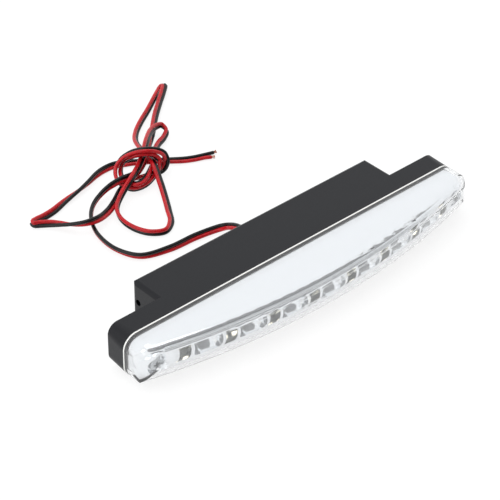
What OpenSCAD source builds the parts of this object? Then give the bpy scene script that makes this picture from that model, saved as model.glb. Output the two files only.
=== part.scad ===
// Daytime running light for a car: a bar of eight small lamps behind a clear curved lens,
// in a black housing, with its twin flex.
// X runs along the lamp, -Y is the way it shines and +Y its back, +Z is up. Millimetres.

/* [Lamp] */
// Overall length of the lamp
lamp_l = 160; // [150:1:180]
// Overall height of the lamp
lamp_h = 18; // [17:0.5:24]
// Depth of the lens at its middle, with the bead of glue behind it
lens_d = 22; // [20:0.5:30]
// Depth of the housing's shallow band
band_d = 8.7; // [6:0.1:14]
// Depth of the box behind the band
box_d = 14.3; // [10:0.1:24]
// Length of the box behind the band
box_l = 114.4; // [90:0.2:124]

/* [Outline] */
// Radius of the lamp's rounded ends, seen from the front
end_r = 5.7; // [5:0.1:7]
// Radius of the lens's front, seen from above
arc_r = 294; // [260:1:500]
// Radius of the lens's corners, seen from above
plan_r = 9; // [7:0.5:12]
// Radius of the lens's top front edge
top_r = 4; // [3.4:0.1:5]
// Radius of the lens's rounded lower front
low_r = 10.7; // [8:0.1:11]

/* [Housing] */
// Wall of the housing
wall = 2.5; // [2:0.1:3]
// How far the housing's underside rises towards its back
rise = 1.6; // [0:0.1:2.5]
// How far each end of the housing draws in towards its back
end_draw = 0.5; // [0:0.1:1.5]
// Radius of the band's ends at its back
back_r = 4.1; // [3.2:0.1:5]
// Radius of the box's upright rear corners
box_r = 2.2; // [0.5:0.1:3]
// Radius of the box's top edges
box_top_r = 2; // [0.5:0.1:3]
// Reach of the lip that goes inside the lens
lip_l = 1; // [0.6:0.1:1.2]
// Diameter of the screw hole in each end of the box
side_hole_d = 2.5; // [2:0.1:3.2]
// Depth of the screw hole in each end of the box
side_hole_l = 7; // [5:0.5:12]

/* [Lens] */
// Wall of the lens
lens_wall = 1.5; // [1.2:0.1:2]
// Thickness of the bead of glue between the lens and the housing
seal_t = 0.6; // [0.2:0.1:0.8]

/* [Reflector] */
// Wall of the reflector
mirror_wall = 1; // [0.8:0.1:1.2]
// Distance from the lens's front to the reflector's front
mirror_back = 3.1; // [2.6:0.1:4]
// Distance from the joint to the reflector's rear edge
mirror_rear = 1.2; // [1.1:0.1:3]
// Distance from the lamp's top down to the bowls' roof
roof_drop = 5.6; // [5.2:0.1:6]
// Height of the bowls' floor above the lamp's underside
bowl_low = 4.6; // [4.3:0.1:5.5]
// Width of each cell in front of a small lamp
cell_w = 4.4; // [3.8:0.1:4.8]
// Radius of the fine ribs along the strip above the bowls
rib_r = 0.25; // [0.15:0.05:0.35]
// Distance of each end screw from the lamp's end
boss_in = 7; // [7:0.5:8]
// Radius of the dish round each end screw
boss_r = 4.2; // [3.9:0.1:4.3]

/* [Lights] */
// Width of a small lamp
led_w = 3.5; // [2.8:0.1:3.6]
// Height of a small lamp
led_h = 2.8; // [2:0.1:3.5]
// Thickness of a small lamp
led_t = 1.9; // [1:0.1:2.2]
// Thickness of the circuit board
board_t = 1.6; // [1:0.1:2]
// Distance of the board's face from the joint
board_front = 5; // [4.6:0.1:5.2]

/* [Flex] */
// Diameter of each core of the twin flex
core_d = 1.5; // [1.3:0.1:1.9]
// Diameter of the bared wire at the end of each core
copper_d = 0.9; // [0.6:0.1:1.1]

/* [Hidden] */

$fn = 64;
arc_fn = 360;
loft_fn = 48;
eps = 0.01;

// The upright corners of the lens and the reflector are rounded this much proud of their
// true place, so that they cross the faces beside them instead of only touching them
lens_blend = 0.01;
mirror_blend = 0.03;

// The box's faces stand this far inside the band's
step = 0.1;

// Clearances between the pieces
lip_gap = 0.15;
mirror_gap = 0.3;
board_gap = 0.3;
screw_gap = 0.05;
flex_gap = 0.1;
bowl_gap = 0.2;

// Planes from the front to the back
front_y = -(lens_d + band_d + box_d) / 2;
seam_y = front_y + lens_d;
box_y = seam_y + band_d;
back_y = box_y + box_d;
lens_y = seam_y - seal_t;
arc_y = front_y + arc_r;

// The reflector stands this far inside the lamp's outline
mirror_in = lens_wall + mirror_gap;
mirror_y = seam_y - mirror_rear;
mirror_r = arc_r - mirror_back;
shell_in = mirror_in + mirror_wall;
boss_x = lamp_l / 2 - boss_in;
ribs = 3;
rib_pitch = 0.8;
rib_sweep = asin((boss_x - 2.5) / mirror_r);

// The small lamps and the bowls between them
leds = 8;
led_pitch = 2 * (boss_x - 1) / leds;
bowl_r = (led_pitch - cell_w) / 2 - mirror_wall - bowl_gap;
bowl_top = lamp_h - roof_drop;
bowl_foot = 0.58 * (bowl_top - bowl_low);
led_xs = [for (i = [0 : leds - 1]) (i - (leds - 1) / 2) * led_pitch];
bowl_xs = [for (i = [0 : leds - 2]) (i - (leds - 2) / 2) * led_pitch];
light_z = (bowl_top + bowl_low) / 2;
cell_low = bowl_low + 0.5;

// The board and what is on it
board_y = seam_y - board_front;
board_back = board_y + board_t;
board_l = 2 * (boss_x - boss_r - 2);
board_rim = 0.9;
board_h = 2 * (min(light_z - shell_in, lamp_h - shell_in - light_z) - board_rim);
board_edge = 1;
resistor = [3.2, 0.6, 1.6];
diode = [4.4, 2.2, 2.6];
diode_x = 8;
window_d = 2.4;
window_t = 0.6;

// Screws: head, shank and length
mirror_screw = [4.8, 2.6, 11];
board_screw = [3.8, 2, 8];
board_screw_x = 2 * led_pitch;
boss_z = lamp_h / 2;
boss_back = seam_y - 3.5;
post_r = 3.4;
board_post_r = 2.4;

// Dish of each end boss: its length, the depth of its cone, and the seat for the screw's head
boss_l = 6.7;
cone_l = 3;
cone_r = 2.9;
seat_y = boss_back - boss_l - step + cone_l;

// Side holes and their bosses
side_y = back_y - box_r - 1.3;
side_z = lamp_h / 2 + 0.8;
side_boss_r = 2.9;

// The bush and the flex in it
flex_z = lamp_h / 2;
core_r = core_d / 2;
core_x = core_r + 0.025;
flange_r = 4.4;
flange_t = 1.2;
neck_r = 3;
inner_r = 3.8;
inner_t = 1.6;
lead_bend = 3;
lead_out = back_y - 10.5;
red_shift = led_pitch / 2;
black_shift = 14 / 18 * led_pitch;

// Route of the flex: x, y behind the lamp's back, z, and how far it is rolled, in degrees.
// At 0 it lies flat with the red core on the left, at -90 the black core is on top.
ROUTE = [
    [0, 0, flex_z, 0], [0, 5.5, flex_z - 0.2, -15], [1, 11.5, flex_z - 2.4, -40],
    [1.1, 18.4, 2.4, -51], [-8.7, 21.2, 1.6, -52], [-21.4, 22, 1.6, -79],
    [-32.2, 25.7, 1.5, -109], [-36.3, 34.6, 1.5, -119], [-35.6, 46.2, 1.5, -111],
    [-31.3, 55.7, 1.6, -98], [-26.2, 61.2, 2, -82], [-20.8, 64, 2.7, -76],
    [-15.9, 64.4, 4.3, -79], [-11.4, 62.8, 6.4, -94], [-3.9, 63.8, 5, -123], [5, 69.2, 3.4, -180],
    [12.9, 75.5, 2.5, -241], [22.7, 84.7, 1.8, -310], [32.9, 94.5, 1.8, -312],
    [40.6, 101.1, 1.9, -309], [47.1, 106.5, 2.2, -318], [49.8, 109.4, 2.1, -342],
    [48.8, 110.2, 1.6, -303], [41.4, 105.1, 1.8, -258], [32.9, 99.5, 1.6, -257],
    [25.6, 95, 1.5, -255], [19.5, 90.5, 1.6, -247], [14.1, 84.4, 2.6, -229],
    [10.4, 76.3, 4.2, -218], [5.5, 63.3, 6.7, -215], [2.6, 55.6, 2.9, -210],
    [-1.9, 47.3, 1.7, -211], [-5.9, 40.7, 1.5, -213], [-10.1, 34.4, 1.5, -230],
    [-15.4, 31.4, 1.6, -270], [-20.4, 34.2, 1.7, -279], [-23.2, 40.1, 1.8, -279],
    [-23.3, 47.4, 1.9, -283], [-20.9, 53.1, 2.2, -284], [-17.6, 56.3, 2.6, -277],
    [-12.8, 58.8, 4.4, -284], [-6.9, 61, 6.6, -284], [0.3, 65.5, 6.9, -289], [5.5, 69, 8.5, -299],
    [11.2, 74, 8.8, -303], [18.6, 80.4, 7.1, -291], [24.1, 83.6, 5.4, -268],
    [27.8, 84.4, 3.9, -243], [28.1, 82, 2.8, -253], [24.5, 79.4, 2.1, -256],
    [19.7, 77, 2.4, -253], [14.2, 72.8, 3.3, -255], [7.5, 66.4, 3.9, -284],
    [1.4, 61.4, 4.5, -319], [-2.6, 59.3, 4.2, -339], [-5.9, 59.1, 4.2, -354],
    [-7.2, 62.3, 3.6, -345], [-7, 66.6, 3.6, -318], [-4.8, 70.6, 3.9, -281],
    [-2.4, 71.8, 6.1, -232], [-0.1, 68.9, 9.1, -217], [3.3, 65.9, 10.2, -217],
    [7.6, 64.6, 8.4, -213], [8.9, 63.5, 5.7, -251], [7, 61.7, 3.7, -282], [2.9, 60.3, 2.3, -284],
    [-1.1, 59.1, 2, -288], [-4.8, 59.3, 1.7, -297], [-8, 60.4, 2.1, -303],
    [-10.1, 63.6, 3.4, -298], [-9.2, 67.9, 4, -284], [-6.8, 71, 6, -249], [-3.8, 71, 8.9, -202],
    [-0.2, 68.8, 11.3, -179], [3.8, 65.6, 12.3, -175], [8.4, 64.4, 10.6, -157],
    [11.4, 63.5, 8, -142], [11.8, 62.8, 4.9, -196], [10.3, 63.1, 1.9, -241],
    [3.9, 63.3, 1.7, -278], [-3.4, 66.1, 1.1, -338], [-10.6, 63.2, 1.1, -385],
    [-16.8, 59.1, 1.2, -391], [-24.8, 54, 2.6, -403], [-32.3, 50.9, 4.4, -425],
    [-37.2, 52.2, 4.3, -467], [-40.4, 56.4, 3, -504], [-42.8, 60.3, 2.3, -543],
    [-45.3, 63.5, 1.9, -583], [-48, 65.8, 1.7, -603], [-49.8, 66.9, 1.8, -638],
    [-49.8, 68, 2.1, -617], [-47.7, 68.5, 1.8, -635], [-44.1, 68.7, 1.4, -672],
    [-38.5, 69.6, 1.2, -688], [-32.9, 71.3, 1.2, -721], [-28.6, 72.5, 1.2, -741],
    [-23, 73.7, 1.4, -767], [-16.8, 75.5, 1.5, -796], [-11.8, 77.2, 1.6, -817],
    [-7.1, 78.2, 1.5, -830], [-2.2, 77.9, 1.5, -840], [4.3, 75.5, 1, -887],
    [12.4, 70.5, 0.8, -900], [17.4, 66.1, 1, -887], [21.2, 63.3, 1, -882], [24.8, 61.4, 1, -883],
    [28.3, 60.1, 1, -884],
];
flex_sides = 8;
red_start = [28.16, 59.33, 0.8];
red_end = [30.84, 57.89, 0.8];
black_start = [28.7, 60.77, 1.2];
black_end = [33.53, 59.75, 0.8];
copper_l = 1.6;

// Rounded rectangle of length l between two heights, seen from the front
module rounded(l, z0, z1, r) {
    translate([-l / 2 + r, z0]) square([l - 2 * r, z1 - z0]);
    translate([-l / 2, z0 + r]) square([l, z1 - z0 - 2 * r]);
    for (x = [-1, 1], z = [z0 + r, z1 - r])
        translate([x * (l / 2 - r), z]) circle(r);
}

// A front view, drawn in X and Z, made solid from y0 back to y1
module slab(y0, y1) {
    translate([0, y1, 0]) rotate([90, 0, 0]) linear_extrude(y1 - y0) children();
}

// Rod along Y
module rod(r, y0, y1) {
    translate([0, y1, 0]) rotate([90, 0, 0]) cylinder(r = r, h = y1 - y0);
}

// Lamp's outline at the joint, drawn in by inset
module lamp_outline(inset) {
    rounded(lamp_l - 2 * inset, inset, lamp_h - inset, end_r - inset);
}

// Half section of a lens shape: a strip whose outer corners are rounded
module edge_section(r_in, r_out, inset, upper_r, lower_r) {
    difference() {
        translate([r_in, inset]) square([r_out - r_in, lamp_h - 2 * inset]);
        translate([r_out - upper_r, lamp_h - inset - upper_r]) difference() {
            square(upper_r + 1);
            circle(upper_r);
        }
        translate([r_out - lower_r, inset + lower_r]) difference() {
            translate([0, -lower_r - 1]) square(lower_r + 1);
            circle(lower_r);
        }
    }
}

// What lies outside the rounded upright corner of a lens shape, at its right-hand end
module corner_waste(x, y, r, inset, blend) {
    far = 3 * r;
    away = [x, y - arc_y] / norm([x, y - arc_y]);
    translate([x, y, 0]) difference() {
        translate([0, 0, -1]) linear_extrude(lamp_h + 2)
            polygon([[0, 0], far * away, [far, -far], [far, 0]]);
        rotate_extrude() edge_section(0, r + blend, inset - blend, top_r - inset, top_r - inset);
    }
}

// Solid lens shape: the outline drawn in by inset, its front by front, its back at y_back
module lens_form(inset, front, y_back, blend) {
    half = lamp_l / 2 - inset;
    r_front = arc_r - front;
    r_corner = plan_r - inset;
    r_back = arc_y - y_back - 2;
    corner_x = half - r_corner;
    corner_y = arc_y - sqrt(pow(r_front - r_corner, 2) - pow(corner_x, 2));
    sweep = asin(half / r_back) + 1;
    difference() {
        intersection() {
            slab(front_y - 1, y_back) lamp_outline(inset);
            translate([0, arc_y, 0]) rotate([0, 0, -90 - sweep])
                rotate_extrude(angle = 2 * sweep, $fn = arc_fn)
                    edge_section(r_back, r_front, inset, top_r - inset, low_r - inset);
        }
        corner_waste(corner_x, corner_y, r_corner, inset, blend);
        mirror([1, 0, 0]) corner_waste(corner_x, corner_y, r_corner, inset, blend);
    }
}

// The housing's band, drawn in by inset, from y0 back to y1
module band_form(inset, y0, y1) {
    hull() {
        slab(y0, y0 + eps) lamp_outline(inset, $fn = loft_fn);
        slab(y1 - eps, y1)
            rounded(lamp_l - 2 * (end_draw + inset), rise + inset, lamp_h - inset, back_r - inset, $fn = loft_fn);
    }
}

// Box with upright rounded rear corners, from y0 back to y1
module round_box(l, y0, y1, z0, z1, r) {
    translate([0, 0, z0]) linear_extrude(z1 - z0) {
        translate([-l / 2 + r, y0]) square([l - 2 * r, y1 - y0]);
        translate([-l / 2, y0]) square([l, y1 - y0 - r]);
        for (x = [-1, 1])
            translate([x * (l / 2 - r), y1 - r]) circle(r);
    }
}

// Outside of the box, its top edges rounded at the ends and the back
module box_form() {
    out = step / 2;
    intersection() {
        round_box(box_l, box_y - 1, back_y, rise + step, lamp_h, box_r);
        slab(box_y - 2, back_y + 1)
            rounded(box_l + 2 * out, -lamp_h, lamp_h + out, box_top_r);
        translate([box_l, 0, 0]) rotate([90, 0, -90]) linear_extrude(2 * box_l) {
            translate([-back_y - out, -1]) square([box_d + 3, lamp_h + 1 + out - box_top_r]);
            translate([-back_y - out + box_top_r, -1]) square([box_d + 3, lamp_h + 1 + out]);
            translate([-back_y - out + box_top_r, lamp_h + out - box_top_r]) circle(box_top_r);
        }
    }
}

module rear_housing() {
    color("#3C3D41") difference() {
        union() {
            difference() {
                union() {
                    band_form(0, seam_y, box_y);
                    box_form();
                    slab(seam_y - lip_l, seam_y + 0.1) lamp_outline(lens_wall + lip_gap);
                }
                slab(seam_y - lip_l - 1, seam_y + 2 * step) lamp_outline(wall + step);
                band_form(wall, seam_y, box_y - wall);
                round_box(box_l - 2 * wall, box_y - wall - 1, back_y - wall,
                          rise + wall + step, lamp_h - wall - step, box_r / 2);
            }
            for (x = [-boss_x, boss_x])
                translate([x, 0, boss_z]) rod(post_r, boss_back, box_y - 1);
            for (x = [-board_screw_x, board_screw_x])
                translate([x, 0, light_z]) rod(board_post_r, board_back, back_y - 1);
            for (side = [-1, 1])
                translate([side * (box_l / 2 - 1), side_y, side_z]) rotate([0, -90 * side, 0])
                    cylinder(r = side_boss_r, h = side_hole_l + 1);
        }
        for (side = [-1, 1])
            translate([side * (box_l / 2 + 1), side_y, side_z]) rotate([0, -90 * side, 0])
                cylinder(d = side_hole_d, h = side_hole_l + 1);
        for (x = [-boss_x, boss_x])
            translate([x, 0, boss_z]) rod(mirror_screw[1] / 2 + screw_gap, boss_back - 1, box_y - wall - 1);
        for (x = [-board_screw_x, board_screw_x])
            translate([x, 0, light_z]) rod(board_screw[1] / 2 + screw_gap, board_back - 1, box_y - wall - 1);
        translate([0, 0, flex_z]) {
            rod(neck_r + flex_gap, back_y - wall - 1, back_y + 1);
            rod(flange_r + flex_gap, back_y - flange_t, back_y + 1);
        }
    }
}

module front_lens() {
    color("#DDE6EE", 0.35) difference() {
        lens_form(0, 0, lens_y, lens_blend);
        lens_form(lens_wall, lens_wall, lens_y + 1, lens_blend);
    }
}

module lens_seal() {
    color("#F2F2EE") slab(lens_y, seam_y) difference() {
        lamp_outline(0);
        lamp_outline(lens_wall);
    }
}

// Round-bottomed bowl with a flat roof, standing on the reflector's front face at x
module bowl(x, r, z0, z1, foot_r) {
    translate([x, arc_y - sqrt(pow(mirror_r, 2) - pow(x, 2)), 0]) rotate_extrude() difference() {
        translate([0, z0]) square([r, z1 - z0]);
        translate([r - foot_r, z0 + foot_r]) difference() {
            translate([0, -foot_r - 1]) square(foot_r + 1);
            circle(foot_r);
        }
    }
}

// Straight channel of one cell from the front back to the board
module cell(x, w, z0, z1, y1) {
    translate([x - w / 2, front_y, z0]) cube([w, y1 - front_y, z1 - z0]);
}

module reflector() {
    color("#E4E7EA") difference() {
        union() {
            difference() {
                lens_form(mirror_in, mirror_back, mirror_y, mirror_blend);
                lens_form(shell_in, mirror_back + mirror_wall, mirror_y + 1, mirror_blend);
            }
            intersection() {
                lens_form(mirror_in, mirror_back, mirror_y, mirror_blend);
                union() {
                    for (x = bowl_xs)
                        bowl(x, bowl_r + mirror_wall, bowl_low - mirror_wall, bowl_top + mirror_wall,
                             bowl_foot + 0.5);
                    for (x = led_xs)
                        cell(x, cell_w + 2 * mirror_wall, cell_low - mirror_wall,
                             bowl_top + mirror_wall, board_y - board_gap);
                }
            }
            intersection() {
                lens_form(mirror_in, mirror_in, mirror_y, mirror_blend);
                for (x = [-boss_x, boss_x])
                    translate([x, 0, boss_z]) rod(boss_r + mirror_wall, boss_back - boss_l, boss_back);
            }
            for (i = [1 : ribs])
                translate([0, arc_y, bowl_top + i * rib_pitch]) rotate([0, 0, -90 - rib_sweep])
                    rotate_extrude(angle = 2 * rib_sweep, $fn = arc_fn) translate([mirror_r, 0]) circle(rib_r, $fn = 24);
        }
        for (x = bowl_xs)
            bowl(x, bowl_r, bowl_low, bowl_top, bowl_foot);
        for (x = led_xs)
            cell(x, cell_w, cell_low, bowl_top, board_y);
        for (x = [-boss_x, boss_x])
            translate([x, 0, boss_z]) {
                translate([0, seat_y - cone_l, 0]) rotate([-90, 0, 0]) cylinder(r1 = boss_r, r2 = cone_r, h = cone_l);
                rod(mirror_screw[1] / 2 + flex_gap, seat_y - 1, boss_back + 1);
            }
    }
}

module led_board() {
    color("#F4F4F0") difference() {
        translate([-board_l / 2, board_y, light_z - board_h / 2]) cube([board_l, board_t, board_h]);
        for (x = [-board_screw_x, board_screw_x])
            translate([x, 0, light_z]) rod(board_screw[1] / 2 + flex_gap, board_y - 1, board_back + 1);
    }
}

// One small lamp: a pale block with a round window in its face
module led(i) {
    color("#F3E6A8") translate([led_xs[i - 1], 0, light_z]) difference() {
        translate([-led_w / 2, board_y - led_t, -led_h / 2]) cube([led_w, led_t, led_h]);
        rod(window_d / 2, board_y - led_t - 1, board_y - led_t + window_t);
    }
}

// Chip resistor for the string of two small lamps i, on the back of the board
module chip_resistor(i) {
    x = (led_xs[2 * i - 2] + led_xs[2 * i - 1]) / 2;
    color("#26282B") translate([x - resistor[0] / 2, board_back, light_z + board_h / 2 - resistor[2] - board_edge])
        cube(resistor);
}

module polarity_diode() {
    color("#202225") translate([diode_x, board_back, light_z - board_h / 2 + board_edge]) cube(diode);
}

// Pan-head screw along Y, its head's underside at y, with a cross in its head
module screw(size, x, y, z) {
    head_h = 0.4 * size[0];
    cross = 0.55 * size[0];
    slot = 0.16 * size[0];
    color("#D8D9DA") translate([x, y, z]) difference() {
        union() {
            rod(size[1] / 2, -eps, size[2]);
            rotate([90, 0, 0]) rotate_extrude() intersection() {
                square([size[0] / 2, head_h]);
                translate([0, head_h - 1.2 * size[0]]) circle(1.2 * size[0]);
            }
        }
        for (turn = [0, 90])
            rotate([0, turn, 0]) translate([-cross / 2, -head_h - 1, -slot / 2])
                cube([cross, 1 + head_h / 2, slot]);
    }
}

module cable_grommet() {
    color("#1E1F21") translate([0, 0, flex_z]) difference() {
        union() {
            rod(flange_r, back_y - flange_t, back_y);
            rod(neck_r, back_y - wall - eps, back_y - flange_t + eps);
            rod(inner_r, back_y - wall - inner_t, back_y - wall);
        }
        for (x = [-core_x, core_x])
            translate([x, 0, 0]) rod(core_r + flex_gap, back_y - wall - inner_t - 1, back_y + 1);
    }
}

// Inner lead: from the bush's outer face forward, aside in an S and on to the board
module lead(side, shift) {
    translate([side * core_x, 0, flex_z]) {
        rod(core_r, lead_out, back_y);
        translate([side * lead_bend, lead_out, 0]) rotate([0, 0, side > 0 ? 180 : 270])
            rotate_extrude(angle = 90) translate([lead_bend, 0]) circle(core_r);
        translate([side * lead_bend, lead_out - lead_bend, 0]) rotate([0, 90 * side, 0])
            cylinder(r = core_r, h = shift - 2 * lead_bend);
        translate([side * (shift - lead_bend), lead_out - 2 * lead_bend, 0]) rotate([0, 0, side > 0 ? 0 : 90])
            rotate_extrude(angle = 90) translate([lead_bend, 0]) circle(core_r);
        translate([side * shift, 0, 0]) rod(core_r, board_back, lead_out - 2 * lead_bend);
    }
}

module lead_red() {
    color("#B3202A") lead(-1, red_shift);
}

module lead_black() {
    color("#222326") lead(1, black_shift);
}

// Place i of the route, the flex's direction there, and the points of its section round it
function place(i) = [ROUTE[i][0], back_y + ROUTE[i][1], ROUTE[i][2]];
function along(i) = let (
    d = place(min(i + 1, len(ROUTE) - 1)) - place(max(i - 1, 0))
) i == 0 ? [0, 1, 0] : d / norm(d);
function ring(i) = let (
    t = along(i),
    left = cross([0, 0, 1], t) / norm(cross([0, 0, 1], t)),
    up = cross(t, left),
    roll = ROUTE[i][3],
    wide = left * cos(roll) + up * sin(roll),
    thin = up * cos(roll) - left * sin(roll)
) [
    for (k = [0 : flex_sides - 1])
        let (a = (k + 0.5) * 360 / flex_sides)
        place(i) + wide * core_d * cos(a) + thin * core_r * sin(a)
];

module power_lead() {
    rings = len(ROUTE);
    points = [for (i = [0 : rings - 1]) each ring(i)];
    ends = [
        [for (k = [0 : flex_sides - 1]) k],
        [for (k = [flex_sides - 1 : -1 : 0]) (rings - 1) * flex_sides + k],
    ];
    sides = [
        for (i = [0 : rings - 2], k = [0 : flex_sides - 1])
            let (
                a = i * flex_sides + k,
                b = i * flex_sides + (k + 1) % flex_sides
            )
            [a, a + flex_sides, b + flex_sides, b]
    ];
    color("#B3202A") polyhedron(points, concat(ends, sides));
}

// Rod from one point to another, both measured from the lamp's back
module strand(a, b, r) {
    d = b - a;
    translate([a[0], back_y + a[1], a[2]])
        rotate([0, acos(d[2] / norm(d)), atan2(d[1], d[0])])
            cylinder(r = r, h = norm(d));
}

// The point beyond b on the line from a to b, at distance l
function beyond(a, b, l) = b + (b - a) / norm(b - a) * l;

module red_tail() {
    color("#D2525B") strand(red_start, red_end, core_r);
}

module black_tail() {
    color("#3A3B3D") strand(black_start, black_end, core_r);
}

module copper_tip_red() {
    color("#C98B7B") strand(red_end, beyond(red_start, red_end, copper_l), copper_d / 2);
}

module copper_tip_black() {
    color("#C98B7B") strand(black_end, beyond(black_start, black_end, copper_l), copper_d / 2);
}

rear_housing();
front_lens();
lens_seal();
reflector();
led_board();
led(1);  // led_1
led(2);  // led_2
led(3);  // led_3
led(4);  // led_4
led(5);  // led_5
led(6);  // led_6
led(7);  // led_7
led(8);  // led_8
chip_resistor(1);  // resistor_1
chip_resistor(2);  // resistor_2
chip_resistor(3);  // resistor_3
chip_resistor(4);  // resistor_4
polarity_diode();
screw(mirror_screw, -boss_x, seat_y, boss_z);  // reflector_screw_left
screw(mirror_screw, boss_x, seat_y, boss_z);  // reflector_screw_right
screw(board_screw, -board_screw_x, board_y, light_z);  // board_screw_left
screw(board_screw, board_screw_x, board_y, light_z);  // board_screw_right
cable_grommet();
lead_red();
lead_black();
power_lead();
red_tail();
black_tail();
copper_tip_red();
copper_tip_black();
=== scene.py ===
# %% [markdown]
# # A daytime running light for a car
# The lamp is a slim bar: a clear curved lens over a bright reflector, in a black housing, with a
# twin flex that lies knotted behind it. The imported model brings every rigid piece at its real
# size. This notebook gives the pieces their finishes, and makes what is soft or fine: the flex,
# its frayed ends and the small phosphor windows, whose glow is painted light. Lengths are in
# metres, and mm() writes them in millimetres.

# %% Load the frame
import math

import bpy
from mathutils import Matrix, Vector


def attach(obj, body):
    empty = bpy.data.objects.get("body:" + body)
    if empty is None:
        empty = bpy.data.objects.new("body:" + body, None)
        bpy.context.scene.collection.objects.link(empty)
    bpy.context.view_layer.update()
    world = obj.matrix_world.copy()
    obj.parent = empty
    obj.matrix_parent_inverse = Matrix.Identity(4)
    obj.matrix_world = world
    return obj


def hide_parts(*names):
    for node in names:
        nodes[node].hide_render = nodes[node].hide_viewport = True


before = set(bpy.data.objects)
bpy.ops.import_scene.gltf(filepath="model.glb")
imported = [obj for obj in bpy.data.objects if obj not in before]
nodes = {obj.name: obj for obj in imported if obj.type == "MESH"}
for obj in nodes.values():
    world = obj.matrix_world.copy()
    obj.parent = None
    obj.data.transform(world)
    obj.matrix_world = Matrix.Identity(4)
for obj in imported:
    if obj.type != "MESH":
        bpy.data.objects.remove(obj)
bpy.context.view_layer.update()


def mm(value):
    """Millimetres as metres, for one number or a point."""
    return value / 1000 if isinstance(value, (int, float)) else Vector(value) / 1000


# %% [markdown]
# ## The camera
# The photograph looks down on the lamp from its left and front, with a long lens. The view is
# given as a real camera would be set up: which way it looks from, how far off it stands, and how
# far the lamp's origin is from the middle of the picture.

# %% The camera
VIEW_AZIMUTH = math.radians(-42.66)
VIEW_ELEVATION = math.radians(36.692)
VIEW_ROLL = math.radians(0.717)
VIEW_DISTANCE = mm(723.506)
VIEW_RIGHT = mm(-16.36)
VIEW_UP = mm(12.425)
VIEW_ORIGIN = mm((0, -0.5, 0))
SENSOR = 36.0
FOCAL = 143.93


def view_axes(azimuth, elevation, roll):
    """Unit vectors to the right, up and back of a camera that looks at the lamp."""
    back = Vector((
        math.sin(azimuth) * math.cos(elevation),
        -math.cos(azimuth) * math.cos(elevation),
        math.sin(elevation),
    ))
    level = Vector((math.cos(azimuth), math.sin(azimuth), 0))
    rise = back.cross(level)
    right = math.cos(roll) * level + math.sin(roll) * rise
    up = math.cos(roll) * rise - math.sin(roll) * level
    return right, up, back


def make_camera():
    """The camera of the photograph, made the scene's camera."""
    right, up, back = view_axes(VIEW_AZIMUTH, VIEW_ELEVATION, VIEW_ROLL)
    data = bpy.data.cameras.new("photo_view")
    data.sensor_width = SENSOR
    data.lens = FOCAL
    camera = bpy.data.objects.new("photo_view", data)
    place = VIEW_ORIGIN + right * VIEW_RIGHT + up * VIEW_UP + back * VIEW_DISTANCE
    turn = Matrix((right, up, back)).transposed().to_4x4()
    camera.matrix_world = Matrix.Translation(place) @ turn
    bpy.context.scene.collection.objects.link(camera)
    bpy.context.scene.camera = camera
    return camera


camera = make_camera()
print("camera at", [round(v, 3) for v in camera.matrix_world.translation])

# %% [markdown]
# ## Helpers for materials
# A material is a graph of nodes. One function adds a node, sets its values and links its inputs,
# and another turns the hex colours that a designer writes into the linear light that the
# renderer works in.

# %% Colours and nodes
# A noise pattern seldom leaves this range, so what it drives is spread over it
PATTERN_LOW = 0.3
PATTERN_HIGH = 0.7


def colour(code, alpha=1.0):
    """An sRGB hex colour as linear red, green, blue and alpha."""
    parts = [int(code[i:i + 2], 16) / 255 for i in (1, 3, 5)]
    linear = [p / 12.92 if p <= 0.04045 else ((p + 0.055) / 1.055) ** 2.4 for p in parts]
    return (*linear, alpha)


def add(tree, kind, settings=None, inputs=None, links=None):
    """Adds a node, sets its settings and inputs, and links inputs to other nodes' outputs."""
    node = tree.nodes.new(kind)
    for name, value in (settings or {}).items():
        setattr(node, name, value)
    for name, value in (inputs or {}).items():
        node.inputs[name].default_value = value
    for name, (source, output) in (links or {}).items():
        tree.links.new(source.outputs[output], node.inputs[name])
    return node


def calc(tree, operation, *values):
    """Adds a maths node. Each value is a number, or another node with the name of its output."""
    node = add(tree, "ShaderNodeMath", {"operation": operation})
    for i, value in enumerate(values):
        if isinstance(value, tuple):
            tree.links.new(value[0].outputs[value[1]], node.inputs[i])
        else:
            node.inputs[i].default_value = value
    return node


def new_material(name):
    """An empty material with its surface, and the coordinates of the object it is on."""
    material = bpy.data.materials.new(name)
    material.use_nodes = True
    tree = material.node_tree
    tree.nodes.clear()
    out = add(tree, "ShaderNodeOutputMaterial")
    surface = add(tree, "ShaderNodeBsdfPrincipled")
    tree.links.new(surface.outputs["BSDF"], out.inputs["Surface"])
    place = add(tree, "ShaderNodeTexCoord")
    return material, tree, surface, place


def grain(tree, surface, place, size, depth, detail=2.0):
    """Bumps of about the given size and depth all over a surface."""
    noise = add(tree, "ShaderNodeTexNoise", inputs={"Scale": 1 / size, "Detail": detail},
                links={"Vector": (place, "Object")})
    bump = add(tree, "ShaderNodeBump", inputs={"Strength": 1.0, "Distance": depth},
               links={"Height": (noise, "Fac")})
    tree.links.new(bump.outputs["Normal"], surface.inputs["Normal"])
    return noise


def vary(tree, factor, socket, low, high):
    """Spreads a pattern between two values of a socket, or between two colours."""
    if isinstance(low, tuple):
        ramp = add(tree, "ShaderNodeValToRGB", links={"Fac": (factor, "Fac")})
        ramp.color_ramp.elements[0].color = low
        ramp.color_ramp.elements[1].color = high
        ramp.color_ramp.elements[0].position = PATTERN_LOW
        ramp.color_ramp.elements[1].position = PATTERN_HIGH
        tree.links.new(ramp.outputs["Color"], socket)
        return ramp
    spread = add(tree, "ShaderNodeMapRange", links={"Value": (factor, "Fac")}, inputs={
        "From Min": PATTERN_LOW, "From Max": PATTERN_HIGH, "To Min": low, "To Max": high})
    tree.links.new(spread.outputs["Result"], socket)
    return spread


def finish_node(name, material):
    """Gives a CAD node its material."""
    node = nodes[name]
    node.data.materials.clear()
    node.data.materials.append(material)


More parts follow.
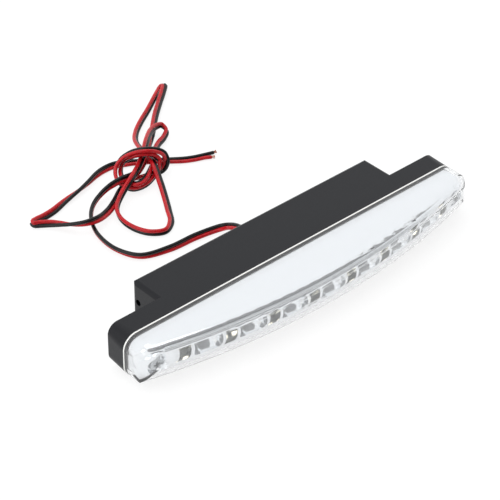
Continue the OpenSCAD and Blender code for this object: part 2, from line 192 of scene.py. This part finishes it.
def new_piece(name, mesh, materials):
    """A mesh as a piece of the lamp that rides with it."""
    piece = bpy.data.objects.new(name, mesh)
    for material in materials:
        mesh.materials.append(material)
    bpy.context.scene.collection.objects.link(piece)
    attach(piece, "root")
    return piece


print("material helpers are ready")

# %% [markdown]
# ## The flex
# A lamp like this is wired with a limp figure-8 flex: a red and a black core in soft PVC, side by
# side, joined by a thin web. Its route is a list of places that it passes, with how far it is
# rolled at each, because a flat flex twists as it bends. A smooth curve through the places gives
# the centreline, and the figure-8 outline is carried along it.

# %% The flex's route
CORE_D = mm(1.5)
CORE_PITCH = mm(1.55)
WEB_HALF = mm(0.2)
CORE_SIDES = 13
STEP = mm(0.8)

# x, y and z in millimetres, and the roll in degrees: 0 is flat with the red core on the left
ROUTE = [
    (0, 22.5, 9, 0), (0, 28, 8.8, -15), (1, 34, 6.6, -40), (1.1, 40.9, 2.4, -51),
    (-8.7, 43.7, 1.6, -52), (-21.4, 44.5, 1.6, -79), (-32.2, 48.2, 1.5, -109),
    (-36.3, 57.1, 1.5, -119), (-35.6, 68.7, 1.5, -111), (-31.3, 78.2, 1.6, -98),
    (-26.2, 83.7, 2, -82), (-20.8, 86.5, 2.7, -76), (-15.9, 86.9, 4.3, -79),
    (-11.4, 85.3, 6.4, -94), (-3.9, 86.3, 5, -123), (5, 91.7, 3.4, -180), (12.9, 98, 2.5, -241),
    (22.7, 107.2, 1.8, -310), (32.9, 117, 1.8, -312), (40.6, 123.6, 1.9, -309),
    (47.1, 129, 2.2, -318), (49.8, 131.9, 2.1, -342), (48.8, 132.7, 1.6, -303),
    (41.4, 127.6, 1.8, -258), (32.9, 122, 1.6, -257), (25.6, 117.5, 1.5, -255),
    (19.5, 113, 1.6, -247), (14.1, 106.9, 2.6, -229), (10.4, 98.8, 4.2, -218),
    (5.5, 85.8, 6.7, -215), (2.6, 78.1, 2.9, -210), (-1.9, 69.8, 1.7, -211),
    (-5.9, 63.2, 1.5, -213), (-10.1, 56.9, 1.5, -230), (-15.4, 53.9, 1.6, -270),
    (-20.4, 56.7, 1.7, -279), (-23.2, 62.6, 1.8, -279), (-23.3, 69.9, 1.9, -283),
    (-20.9, 75.6, 2.2, -284), (-17.6, 78.8, 2.6, -277), (-12.8, 81.3, 4.4, -284),
    (-6.9, 83.5, 6.6, -284), (0.3, 88, 6.9, -289), (5.5, 91.5, 8.5, -299),
    (11.2, 96.5, 8.8, -303), (18.6, 102.9, 7.1, -291), (24.1, 106.1, 5.4, -268),
    (27.8, 106.9, 3.9, -243), (28.1, 104.5, 2.8, -253), (24.5, 101.9, 2.1, -256),
    (19.7, 99.5, 2.4, -253), (14.2, 95.3, 3.3, -255), (7.5, 88.9, 3.9, -284),
    (1.4, 83.9, 4.5, -319), (-2.6, 81.8, 4.2, -339), (-5.9, 81.6, 4.2, -354),
    (-7.2, 84.8, 3.6, -345), (-7, 89.1, 3.6, -318), (-4.8, 93.1, 3.9, -281),
    (-2.4, 94.3, 6.1, -232), (-0.1, 91.4, 9.1, -217), (3.3, 88.4, 10.2, -217),
    (7.6, 87.1, 8.4, -213), (8.9, 86, 5.7, -251), (7, 84.2, 3.7, -282), (2.9, 82.8, 2.3, -284),
    (-1.1, 81.6, 2, -288), (-4.8, 81.8, 1.7, -297), (-8, 82.9, 2.1, -303),
    (-10.1, 86.1, 3.4, -298), (-9.2, 90.4, 4, -284), (-6.8, 93.5, 6, -249),
    (-3.8, 93.5, 8.9, -202), (-0.2, 91.3, 11.3, -179), (3.8, 88.1, 12.3, -175),
    (8.4, 86.9, 10.6, -157), (11.4, 86, 8, -142), (11.8, 85.3, 4.9, -196),
    (10.3, 85.6, 1.9, -241), (3.9, 85.8, 1.7, -278), (-3.4, 88.6, 1.1, -338),
    (-10.6, 85.7, 1.1, -385), (-16.8, 81.6, 1.2, -391), (-24.8, 76.5, 2.6, -403),
    (-32.3, 73.4, 4.4, -425), (-37.2, 74.7, 4.3, -467), (-40.4, 78.9, 3, -504),
    (-42.8, 82.8, 2.3, -543), (-45.3, 86, 1.9, -583), (-48, 88.3, 1.7, -603),
    (-49.8, 89.4, 1.8, -638), (-49.8, 90.5, 2.1, -617), (-47.7, 91, 1.8, -635),
    (-44.1, 91.2, 1.4, -672), (-38.5, 92.1, 1.2, -688), (-32.9, 93.8, 1.2, -721),
    (-28.6, 95, 1.2, -741), (-23, 96.2, 1.4, -767), (-16.8, 98, 1.5, -796),
    (-11.8, 99.7, 1.6, -817), (-7.1, 100.7, 1.5, -830), (-2.2, 100.4, 1.5, -840),
    (4.3, 98, 1, -887), (12.4, 93, 0.8, -900), (17.4, 88.6, 1, -887), (21.2, 85.8, 1, -882),
    (24.8, 83.9, 1, -883), (28.3, 82.6, 1, -884),
]


def smooth_route(places, step):
    """Points about a step apart on a smooth curve through the places, each with its roll."""
    p = [mm(place[:3]) for place in places]
    p = [2 * p[0] - p[1], *p, 2 * p[-1] - p[-2]]
    fine = []
    for i in range(1, len(p) - 2):
        knots = [0.0]
        for k in range(3):
            knots.append(knots[-1] + (p[i + k] - p[i + k - 1]).length ** 0.5)
        t0, t1, t2, t3 = knots
        count = max(2, round((p[i + 1] - p[i]).length / step))
        for n in range(count):
            t = t1 + (t2 - t1) * n / count
            a1 = p[i - 1].lerp(p[i], (t - t0) / (t1 - t0))
            a2 = p[i].lerp(p[i + 1], (t - t1) / (t2 - t1))
            a3 = p[i + 1].lerp(p[i + 2], (t - t2) / (t3 - t2))
            b1 = a1.lerp(a2, (t - t0) / (t2 - t0))
            b2 = a2.lerp(a3, (t - t1) / (t3 - t1))
            roll = places[i - 1][3] + (places[i][3] - places[i - 1][3]) * n / count
            fine.append((b1.lerp(b2, (t - t1) / (t2 - t1)), math.radians(roll)))
    fine.append((p[-2], math.radians(places[-1][3])))
    return fine


route = smooth_route(ROUTE, STEP)
flex_length = sum((b[0] - a[0]).length for a, b in zip(route, route[1:]))
print("the flex is", round(flex_length, 4), "m long, in", len(route), "rings")


# %% Carry the figure-8 outline along the route
def figure_eight(sides):
    """Points round the outline, across and through the flex, and which core each belongs to."""
    radius = CORE_D / 2
    waist = math.asin(WEB_HALF / radius)
    outline = []
    for core, side in ((0, 1), (1, -1)):
        for n in range(sides):
            a = -math.pi + waist + (2 * math.pi - 2 * waist) * n / (sides - 1)
            if side < 0:
                a += math.pi
            across = side * CORE_PITCH / 2 + radius * math.cos(a)
            outline.append((across, radius * math.sin(a), core))
    return outline


def level_frame(before, after):
    """Directions to the left of and up from a path that runs from one place to another."""
    along = (after - before).normalized()
    left = Vector((0, 0, 1)).cross(along).normalized()
    return left, along.cross(left)


def flex_frame(points, i):
    """Directions across and through the flex at place i of its route."""
    before = points[max(i - 1, 0)][0]
    after = points[min(i + 1, len(points) - 1)][0]
    left, rise = level_frame(before, after)
    roll = points[i][1]
    across = left * math.cos(roll) + rise * math.sin(roll)
    through = rise * math.cos(roll) - left * math.sin(roll)
    return across, through


def skin(name, rings):
    """A closed smooth mesh over rings of points, its sides first and its two ends last."""
    count = len(rings[0])
    faces = []
    for i in range(len(rings) - 1):
        for k in range(count):
            a = i * count + k
            b = i * count + (k + 1) % count
            faces.append((a, b, b + count, a + count))
    last = (len(rings) - 1) * count
    faces += [tuple(range(count - 1, -1, -1)), tuple(range(last, last + count))]
    mesh = bpy.data.meshes.new(name)
    mesh.from_pydata([tuple(v) for ring in rings for v in ring], [], faces)
    mesh.shade_smooth()
    return mesh


def sweep_flex(points, outline):
    """A closed mesh of the outline carried along the points, its faces marked by core."""
    rings = []
    for i, (place, _) in enumerate(points):
        across, through = flex_frame(points, i)
        rings.append([place + across * u + through * v for u, v, _ in outline])
    mesh = skin("power_flex", rings)
    cores = [core for _, _, core in outline] * (len(points) - 1)
    mesh.polygons.foreach_set("material_index", cores + [0, 0])
    return mesh


flex_mesh = sweep_flex(route, figure_eight(CORE_SIDES))
print("the flex has", len(flex_mesh.polygons), "faces")

# %% [markdown]
# Flexible PVC is extruded, so it is smooth along its length, with a soft gloss and a faint
# waviness where it has been handled. The red is a deep crimson that is a little brighter in
# patches, and the black is nearly even.

# %% Red and black PVC
def extruded_pvc(name, deep, light):
    """Soft PVC sheath: a smooth glossy skin, uneven over a few millimetres."""
    material, tree, surface, place = new_material(name)
    waves = grain(tree, surface, place, size=mm(2.5), depth=mm(0.05))
    vary(tree, waves, surface.inputs["Base Color"], colour(deep), colour(light))
    vary(tree, waves, surface.inputs["Roughness"], 0.26, 0.36)
    surface.inputs["Specular IOR Level"].default_value = 0.3
    return material


red_pvc = extruded_pvc("extruded_red_pvc", "#B0101A", "#C81822")
black_pvc = extruded_pvc("extruded_black_pvc", "#0B0A0B", "#121112")
flex = new_piece("power_flex", flex_mesh, [red_pvc, black_pvc])
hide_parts("power_lead")


# %% [markdown]
# At its free end the flex is slit, so each core goes its own way for a few millimetres and ends
# in a tuft of bare strands. The tails are short swept tubes, and Geometry Nodes lay the strands:
# one thin rod, repeated at the points of a small disc, each tipped a little its own way.

# %% The two tails
TAIL_SIDES = 16
TAIL_STEPS = 10
# How far each tail starts inside the end of the flex, so that no gap shows
TAIL_ROOT = mm(0.4)
RED_TIP = mm((30.84, 80.39, 0.8))
BLACK_TIP = mm((33.53, 82.25, 0.8))


def bezier(a, b, c, d, count):
    """Points on a curve from a to d that leaves towards b and arrives from c."""
    points = []
    for n in range(count + 1):
        t = n / count
        near = a * (1 - t) ** 3 + b * 3 * t * (1 - t) ** 2
        points.append(near + c * 3 * t * t * (1 - t) + d * t ** 3)
    return points


def round_tube(name, points, radius, sides):
    """A closed round tube through the points."""
    angles = [2 * math.pi * k / sides for k in range(sides)]
    rings = []
    for i, place in enumerate(points):
        left, rise = level_frame(points[max(i - 1, 0)], points[min(i + 1, len(points) - 1)])
        rings.append([place + left * radius * math.cos(a) + rise * radius * math.sin(a)
                      for a in angles])
    return skin(name, rings)


def make_tail(name, side, tip, material, cad_name):
    """One core from the end of the flex to its tip. Side is 1 for red and -1 for black."""
    place = route[-1][0]
    along = (route[-1][0] - route[-3][0]).normalized()
    across, _ = flex_frame(route, len(route) - 1)
    start = place + across * side * CORE_PITCH / 2 - along * TAIL_ROOT
    reach = (tip - start).length / 3
    before_tip = tip - (tip - start).normalized() * reach
    points = bezier(start, start + along * reach, before_tip, tip, TAIL_STEPS)
    tube = round_tube(name, points, CORE_D / 2, TAIL_SIDES)
    tail = new_piece(name, tube, [material])
    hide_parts(cad_name)
    return tail, (points[-1] - points[-2]).normalized()


red_tail, red_out = make_tail(
    "red_core_tail", 1, RED_TIP, red_pvc, "red_tail")
black_tail, black_out = make_tail(
    "black_core_tail", -1, BLACK_TIP, black_pvc, "black_tail")
print("tails made")

# %% Copper strands at the tips
STRAND_D = mm(0.18)
STRAND_L = mm(2.0)
STRANDS = 14
STRAND_SIDES = 6
# Each strand's place is one golden angle further round than the last, in radians
GOLDEN_ANGLE = 2.39996
# How far apart the strands stand, in thicknesses, and how far each may lean, in radians
STRAND_SPACING = 0.62
STRAND_LEAN = 0.3
# How far the tuft starts inside the end of its core
STRAND_ROOT = mm(0.6)
STAINS_PER_METRE = 900.0


def copper_wire():
    """Bare annealed copper, a little dull and uneven from handling."""
    material, tree, surface, place = new_material("bare_copper")
    stain = add(tree, "ShaderNodeTexNoise", inputs={"Scale": STAINS_PER_METRE, "Detail": 2.0},
                links={"Vector": (place, "Object")})
    vary(tree, stain, surface.inputs["Base Color"], colour("#C98468"), colour("#E2A88E"))
    surface.inputs["Metallic"].default_value = 1.0
    surface.inputs["Roughness"].default_value = 0.34
    return material


def new_socket(group, name, kind, value=None, output=False):
    """Adds an input or an output to a node group, with its default."""
    socket = group.interface.new_socket(
        name=name, in_out="OUTPUT" if output else "INPUT", socket_type=kind)
    if value is not None:
        socket.default_value = value
    return socket


def repeat_and_coat(group, gin, points, rod, rotation=None):
    """Ends a group: one shape at each point, made real and given the group's material."""
    links = {"Points": points, "Instance": rod}
    if rotation:
        links["Rotation"] = rotation
    placed = add(group, "GeometryNodeInstanceOnPoints", links=links)
    real = add(group, "GeometryNodeRealizeInstances", links={"Geometry": (placed, "Instances")})
    coat = add(group, "GeometryNodeSetMaterial",
               links={"Geometry": (real, "Geometry"), "Material": (gin, "Material")})
    add(group, "NodeGroupOutput", links={"Geometry": (coat, "Geometry")})


def strand_group():
    """A tuft: thin rods on a spiral of points, each leaning a little its own way."""
    group = bpy.data.node_groups.new("strand_tuft", "GeometryNodeTree")
    new_socket(group, "Geometry", "NodeSocketGeometry")
    new_socket(group, "Count", "NodeSocketInt", STRANDS)
    new_socket(group, "Length", "NodeSocketFloat", STRAND_L)
    new_socket(group, "Thickness", "NodeSocketFloat", STRAND_D)
    new_socket(group, "Spread", "NodeSocketFloat", STRAND_LEAN)
    new_socket(group, "Seed", "NodeSocketInt", 3)
    new_socket(group, "Material", "NodeSocketMaterial")
    new_socket(group, "Geometry", "NodeSocketGeometry", output=True)
    gin = add(group, "NodeGroupInput")
    index = add(group, "GeometryNodeInputIndex")
    turn = calc(group, "MULTIPLY", (index, "Index"), GOLDEN_ANGLE)
    root = calc(group, "SQRT", (index, "Index"))
    reach = calc(group, "MULTIPLY", (root, "Value"), (gin, "Thickness"))
    reach = calc(group, "MULTIPLY", (reach, "Value"), STRAND_SPACING)
    cosine = calc(group, "COSINE", (turn, "Value"))
    sine = calc(group, "SINE", (turn, "Value"))
    px = calc(group, "MULTIPLY", (cosine, "Value"), (reach, "Value"))
    py = calc(group, "MULTIPLY", (sine, "Value"), (reach, "Value"))
    spot = add(group, "ShaderNodeCombineXYZ", links={"X": (px, "Value"), "Y": (py, "Value")})
    points = add(group, "GeometryNodePoints",
                 links={"Count": (gin, "Count"), "Position": (spot, "Vector")})
    half = calc(group, "MULTIPLY", (gin, "Thickness"), 0.5)
    rod = add(group, "GeometryNodeMeshCylinder", inputs={"Vertices": STRAND_SIDES},
              links={"Radius": (half, "Value"), "Depth": (gin, "Length")})
    rise = calc(group, "MULTIPLY", (gin, "Length"), 0.5)
    lift = add(group, "ShaderNodeCombineXYZ", links={"Z": (rise, "Value")})
    rod_up = add(group, "GeometryNodeTransform",
                 links={"Geometry": (rod, "Mesh"), "Translation": (lift, "Vector")})
    low = calc(group, "MULTIPLY", (gin, "Spread"), -1.0)
    low_v = add(group, "ShaderNodeCombineXYZ", links={"X": (low, "Value"), "Y": (low, "Value")})
    high_v = add(group, "ShaderNodeCombineXYZ",
                 links={"X": (gin, "Spread"), "Y": (gin, "Spread")})
    lean = add(group, "FunctionNodeRandomValue", {"data_type": "FLOAT_VECTOR"},
               links={0: (low_v, "Vector"), 1: (high_v, "Vector"), "Seed": (gin, "Seed")})
    repeat_and_coat(group, gin, (points, 0), (rod_up, "Geometry"), (lean, 0))
    return group


def grow(name, group, values):
    """Runs a node group and keeps what it makes as a plain mesh."""
    holder = bpy.data.objects.new(name + "_source", bpy.data.meshes.new(name + "_source"))
    bpy.context.scene.collection.objects.link(holder)
    modifier = holder.modifiers.new("build", "NODES")
    modifier.node_group = group
    sockets = {item.name: item.identifier for item in group.interface.items_tree
               if item.in_out == "INPUT"}
    for key, value in values.items():
        modifier[sockets[key]] = value
    shown = holder.evaluated_get(bpy.context.evaluated_depsgraph_get())
    mesh = bpy.data.meshes.new_from_object(shown)
    mesh.name = name
    holder.modifiers.remove(modifier)
    bpy.data.objects.remove(holder)
    return mesh


copper = copper_wire()
tuft = strand_group()


def make_tuft(name, tip, along, seed, cad_name):
    """The bare strands that stand out of one core's end."""
    mesh = grow(name, tuft, {"Seed": seed, "Material": copper})
    turn = along.to_track_quat("Z", "Y").to_matrix().to_4x4()
    mesh.transform(Matrix.Translation(tip - along * STRAND_ROOT) @ turn)
    strands = new_piece(name, mesh, [])
    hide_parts(cad_name)
    return strands


red_strands = make_tuft("red_core_strands", RED_TIP, red_out, 3, "copper_tip_red")
black_strands = make_tuft("black_core_strands", BLACK_TIP, black_out, 8, "copper_tip_black")
print("strand faces:", len(red_strands.data.polygons), len(black_strands.data.polygons))

# %% [markdown]
# ## The moulded and plated pieces
# The housing is black ABS with a fine satin grain from the mould. The lens is clear
# polycarbonate. The reflector is ABS with an aluminium coat laid in a vacuum, as bright as a
# mirror but never quite flat, so it ripples what it reflects.

# %% Materials of the lamp
def satin_abs():
    """Black ABS from an etched mould: a fine grain that turns each highlight into a soft sheen."""
    material, tree, surface, place = new_material("satin_black_abs")
    texture = grain(tree, surface, place, size=mm(0.35), depth=mm(0.006), detail=3.0)
    vary(tree, texture, surface.inputs["Roughness"], 0.36, 0.46)
    surface.inputs["Base Color"].default_value = colour("#080A11")
    surface.inputs["Specular IOR Level"].default_value = 0.3
    return material


def clear_polycarbonate():
    """Polished clear polycarbonate, with a faint haze.

    The haze scatters a twentieth of the light at each surface. Without it, light that runs along
    inside a wall would never come out, and the wall's edges would look black.
    """
    material, _, surface, _ = new_material("clear_polycarbonate")
    surface.inputs["Base Color"].default_value = colour("#FBFCFD")
    surface.inputs["Transmission Weight"].default_value = 0.95
    surface.inputs["IOR"].default_value = 1.58
    surface.inputs["Roughness"].default_value = 0.02
    return material


def vacuum_plating():
    """Aluminium laid in a vacuum on moulded ABS: a bright mirror with a slow ripple in it."""
    material, tree, surface, place = new_material("vacuum_plated_aluminium")
    ripple = grain(tree, surface, place, size=mm(5.0), depth=mm(0.02), detail=1.0)
    vary(tree, ripple, surface.inputs["Roughness"], 0.06, 0.1)
    surface.inputs["Metallic"].default_value = 1.0
    surface.inputs["Base Color"].default_value = colour("#FBFCFD")
    return material


# How far a plain finish's roughness wanders either way
GLOSS_SPREAD = 0.06


def plain(name, code, roughness, metallic=0.0):
    """A material whose finish is one colour, with a little unevenness in its gloss."""
    material, tree, surface, place = new_material(name)
    surface.inputs["Base Color"].default_value = colour(code)
    surface.inputs["Metallic"].default_value = metallic
    texture = grain(tree, surface, place, size=mm(0.5), depth=mm(0.003))
    vary(tree, texture, surface.inputs["Roughness"],
         roughness - GLOSS_SPREAD, roughness + GLOSS_SPREAD)
    return material


abs_black = satin_abs()
lens_clear = clear_polycarbonate()
plating = vacuum_plating()
# Cured silicone: a pale line with a soft gloss
glue = plain("silicone_glue_bead", "#F4F4F0", 0.45)
# Printed solder mask: white and a little shiny
board_mask = plain("white_solder_mask", "#FAFAF6", 0.38)
# Fired ceramic: an even, dull white
led_body = plain("led_ceramic_body", "#FAFAF4", 0.5)
# Moulded epoxy: dark grey and dull
chip_body = plain("moulded_epoxy_chip", "#1C1D1F", 0.5)
# Zinc plating on steel: a grey metal that blurs what it reflects
zinc = plain("zinc_plated_steel", "#C9CBCD", 0.3, metallic=1.0)
# Moulded rubber: a near black with hardly any shine
rubber = plain("black_rubber_bush", "#17181A", 0.62)

FINISHES = {
    "rear_housing": abs_black,
    "front_lens": lens_clear,
    "lens_seal": glue,
    "reflector": plating,
    "led_board": board_mask,
    "polarity_diode": chip_body,
    "cable_grommet": rubber,
    "lead_red": red_pvc,
    "lead_black": black_pvc,
}
led_names = [name for name in nodes if name.startswith("led_") and name != "led_board"]
for name in nodes:
    if name in led_names:
        FINISHES[name] = led_body
    elif name.startswith("resistor_"):
        FINISHES[name] = chip_body
    elif "_screw_" in name:
        FINISHES[name] = zinc
for name, material in FINISHES.items():
    finish_node(name, material)
print("finished nodes:", len(FINISHES))

# %% [markdown]
# Each small lamp has a round window in its face, filled with silicone that holds a yellow
# phosphor. The lamp is off, and the glow of the windows is painted light: it stands in for the
# light that falls into each cell, and makes each one a bright dot behind the lens. Geometry Nodes
# lay one window in every small lamp.

# %% Phosphor windows
WINDOW_D = mm(2.36)
WINDOW_T = mm(0.5)
# How far behind the small lamp's face the middle of its window lies
WINDOW_DEEP = mm(0.32)
WINDOW_SIDES = 32
# How strong the windows' painted glow is: painted light that stands in for the light falling into
# each cell
WINDOW_PAINTED_GLOW = 1.8


def node_box(name):
    """The lowest and highest corner of a CAD node."""
    places = [v.co for v in nodes[name].data.vertices]
    return (Vector([min(p[k] for p in places) for k in range(3)]),
            Vector([max(p[k] for p in places) for k in range(3)]))


def phosphor_and_painted_glow():
    """Silicone full of phosphor grains: pale yellow and speckled, with a painted glow that makes it
    a bright dot.
    """
    material, tree, surface, place = new_material("phosphor_painted_glow")
    grains = grain(tree, surface, place, size=mm(0.2), depth=mm(0.004))
    vary(tree, grains, surface.inputs["Base Color"], colour("#FBE9A6"), colour("#FFF4CC"))
    surface.inputs["Roughness"].default_value = 0.3
    # Painted light: the window glows though the lamp is off, standing in for the light that falls
    # into its cell
    surface.inputs["Emission Color"].default_value = colour("#FFF8E6")
    surface.inputs["Emission Strength"].default_value = WINDOW_PAINTED_GLOW
    return material


def window_row():
    """Round windows in a row along X, each a short disc that faces along Y."""
    group = bpy.data.node_groups.new("window_row", "GeometryNodeTree")
    new_socket(group, "Geometry", "NodeSocketGeometry")
    new_socket(group, "Count", "NodeSocketInt")
    new_socket(group, "Start", "NodeSocketVector")
    new_socket(group, "Pitch", "NodeSocketVector")
    new_socket(group, "Diameter", "NodeSocketFloat", WINDOW_D)
    new_socket(group, "Thickness", "NodeSocketFloat", WINDOW_T)
    new_socket(group, "Material", "NodeSocketMaterial")
    new_socket(group, "Geometry", "NodeSocketGeometry", output=True)
    gin = add(group, "NodeGroupInput")
    row = add(group, "GeometryNodeMeshLine", links={
        "Count": (gin, "Count"), "Start Location": (gin, "Start"), "Offset": (gin, "Pitch")})
    half = calc(group, "MULTIPLY", (gin, "Diameter"), 0.5)
    disc = add(group, "GeometryNodeMeshCylinder", inputs={"Vertices": WINDOW_SIDES},
               links={"Radius": (half, "Value"), "Depth": (gin, "Thickness")})
    facing = add(group, "GeometryNodeTransform", inputs={"Rotation": (math.pi / 2, 0, 0)},
                 links={"Geometry": (disc, "Mesh")})
    repeat_and_coat(group, gin, (row, "Mesh"), (facing, "Geometry"))
    return group


led_count = len(led_names)
first_low, first_high = node_box("led_1")
last_low, _ = node_box(f"led_{led_count}")
window_start = Vector((
    (first_low.x + first_high.x) / 2,
    first_low.y + WINDOW_DEEP,
    (first_low.z + first_high.z) / 2,
))
window_pitch = Vector(((last_low.x - first_low.x) / (led_count - 1), 0, 0))
window_mesh = grow("phosphor_windows", window_row(), {
    "Count": led_count,
    "Start": window_start,
    "Pitch": window_pitch,
    "Material": phosphor_and_painted_glow(),
})
new_piece("phosphor_windows", window_mesh, [])
print("windows:", led_count, "at", [round(v * 1000, 2) for v in window_start])

# %% [markdown]
# ## The studio
# The lamp was photographed on white, with soft light from all round. The floor here is close to
# white for the camera and for glossy rays, and takes only a faint shadow. For all other light it
# is a duller paper. A dark patch in the sky in front of the lamp gives the plating its grey lines.

# %% Floor, world and lights
FLOOR_REACH = 6.0
FLOOR_DROP = 0.0002
# What the camera and glossy rays see: mostly glow, and a little that shadows can darken
FLOOR_GLOW = 0.84
FLOOR_MATTE = 0.2
# What all other rays see
PAPER_GLOW = 0.3
PAPER_MATTE = 0.5
LIGHT_BOUNCES = 24
SKY_BRIGHT = 1.07
SKY_DARK = 0.2
# The middle of the dark patch, and the cosines between which the sky fades into it
DARK_SIDE = Vector((0.1, -0.95, 0.3)).normalized()
DARK_EDGE = 0.62
DARK_CORE = 0.7
# Each light's name, place and side in metres, and power in watts
LIGHTS = [
    ("top_soft_box", (0.0, 0.1, 1.0), 0.7, 2.0),
    ("left_soft_box", (-0.8, 0.1, 0.45), 0.5, 1.5),
]
LIGHT_AIM = (0, 0.03, 0)


def glowing_paper(tree, glow, matte):
    """A surface that glows white and also scatters a grey share of the light on it."""
    light = add(tree, "ShaderNodeEmission", inputs={"Color": colour("#FFFFFF"), "Strength": glow})
    face = add(tree, "ShaderNodeBsdfDiffuse", inputs={"Color": (matte, matte, matte, 1)})
    return add(tree, "ShaderNodeAddShader", links={0: (light, "Emission"), 1: (face, "BSDF")})


def white_floor():
    """Nearly white for the camera and glossy rays, and a duller paper for all other light."""
    material = bpy.data.materials.new("white_studio_floor")
    material.use_nodes = True
    tree = material.node_tree
    tree.nodes.clear()
    shown = glowing_paper(tree, FLOOR_GLOW, FLOOR_MATTE)
    paper = glowing_paper(tree, PAPER_GLOW, PAPER_MATTE)
    path = add(tree, "ShaderNodeLightPath")
    seen = calc(tree, "MAXIMUM", (path, "Is Camera Ray"), (path, "Is Glossy Ray"))
    pick = add(tree, "ShaderNodeMixShader",
               links={0: (seen, "Value"), 1: (paper, "Shader"), 2: (shown, "Shader")})
    add(tree, "ShaderNodeOutputMaterial", links={"Surface": (pick, "Shader")})
    return material


def make_floor():
    """One wide square just under the lamp."""
    mesh = bpy.data.meshes.new("studio_floor")
    signs = [(-1, -1), (1, -1), (1, 1), (-1, 1)]
    mesh.from_pydata([(x * FLOOR_REACH, y * FLOOR_REACH, 0) for x, y in signs],
                     [], [(0, 1, 2, 3)])
    mesh.materials.append(white_floor())
    floor = bpy.data.objects.new("studio_floor", mesh)
    floor.location.z = -FLOOR_DROP
    bpy.context.scene.collection.objects.link(floor)


def make_world():
    """A white sky with one dark patch, and plain white for the camera."""
    world = bpy.data.worlds.new("white_studio")
    bpy.context.scene.world = world
    world.use_nodes = True
    tree = world.node_tree
    tree.nodes.clear()
    place = add(tree, "ShaderNodeTexCoord")
    facing = add(tree, "ShaderNodeVectorMath", {"operation": "DOT_PRODUCT"}, {1: DARK_SIDE},
                 {0: (place, "Generated")})
    fade = add(tree, "ShaderNodeMapRange", {"interpolation_type": "SMOOTHSTEP"},
               {"From Min": DARK_EDGE, "From Max": DARK_CORE,
                "To Min": SKY_BRIGHT, "To Max": SKY_DARK},
               {"Value": (facing, "Value")})
    sky = add(tree, "ShaderNodeBackground", inputs={"Color": colour("#FDFEFF")},
              links={"Strength": (fade, "Result")})
    white = add(tree, "ShaderNodeBackground", inputs={"Color": colour("#FFFFFF"), "Strength": 1.0})
    path = add(tree, "ShaderNodeLightPath")
    pick = add(tree, "ShaderNodeMixShader",
               links={0: (path, "Is Camera Ray"), 1: (sky, "Background"), 2: (white, "Background")})
    add(tree, "ShaderNodeOutputWorld", links={"Surface": (pick, "Shader")})


def soft_light(name, place, aim, size, watts):
    """A square soft box at a place, turned to what it lights."""
    data = bpy.data.lights.new(name, "AREA")
    data.shape = "SQUARE"
    data.size = size
    data.energy = watts
    light = bpy.data.objects.new(name, data)
    light.location = place
    light.rotation_euler = (Vector(aim) - Vector(place)).to_track_quat("-Z", "Y").to_euler()
    bpy.context.scene.collection.objects.link(light)


make_floor()
make_world()
for name, place, size, watts in LIGHTS:
    soft_light(name, place, LIGHT_AIM, size, watts)
print("lights:", [row[0] for row in LIGHTS])

scene = bpy.context.scene
scene.view_settings.view_transform = "Standard"
scene.cycles.max_bounces = LIGHT_BOUNCES
scene.cycles.glossy_bounces = LIGHT_BOUNCES
scene.cycles.transmission_bounces = LIGHT_BOUNCES

# %% Finish
bpy.context.view_layer.update()
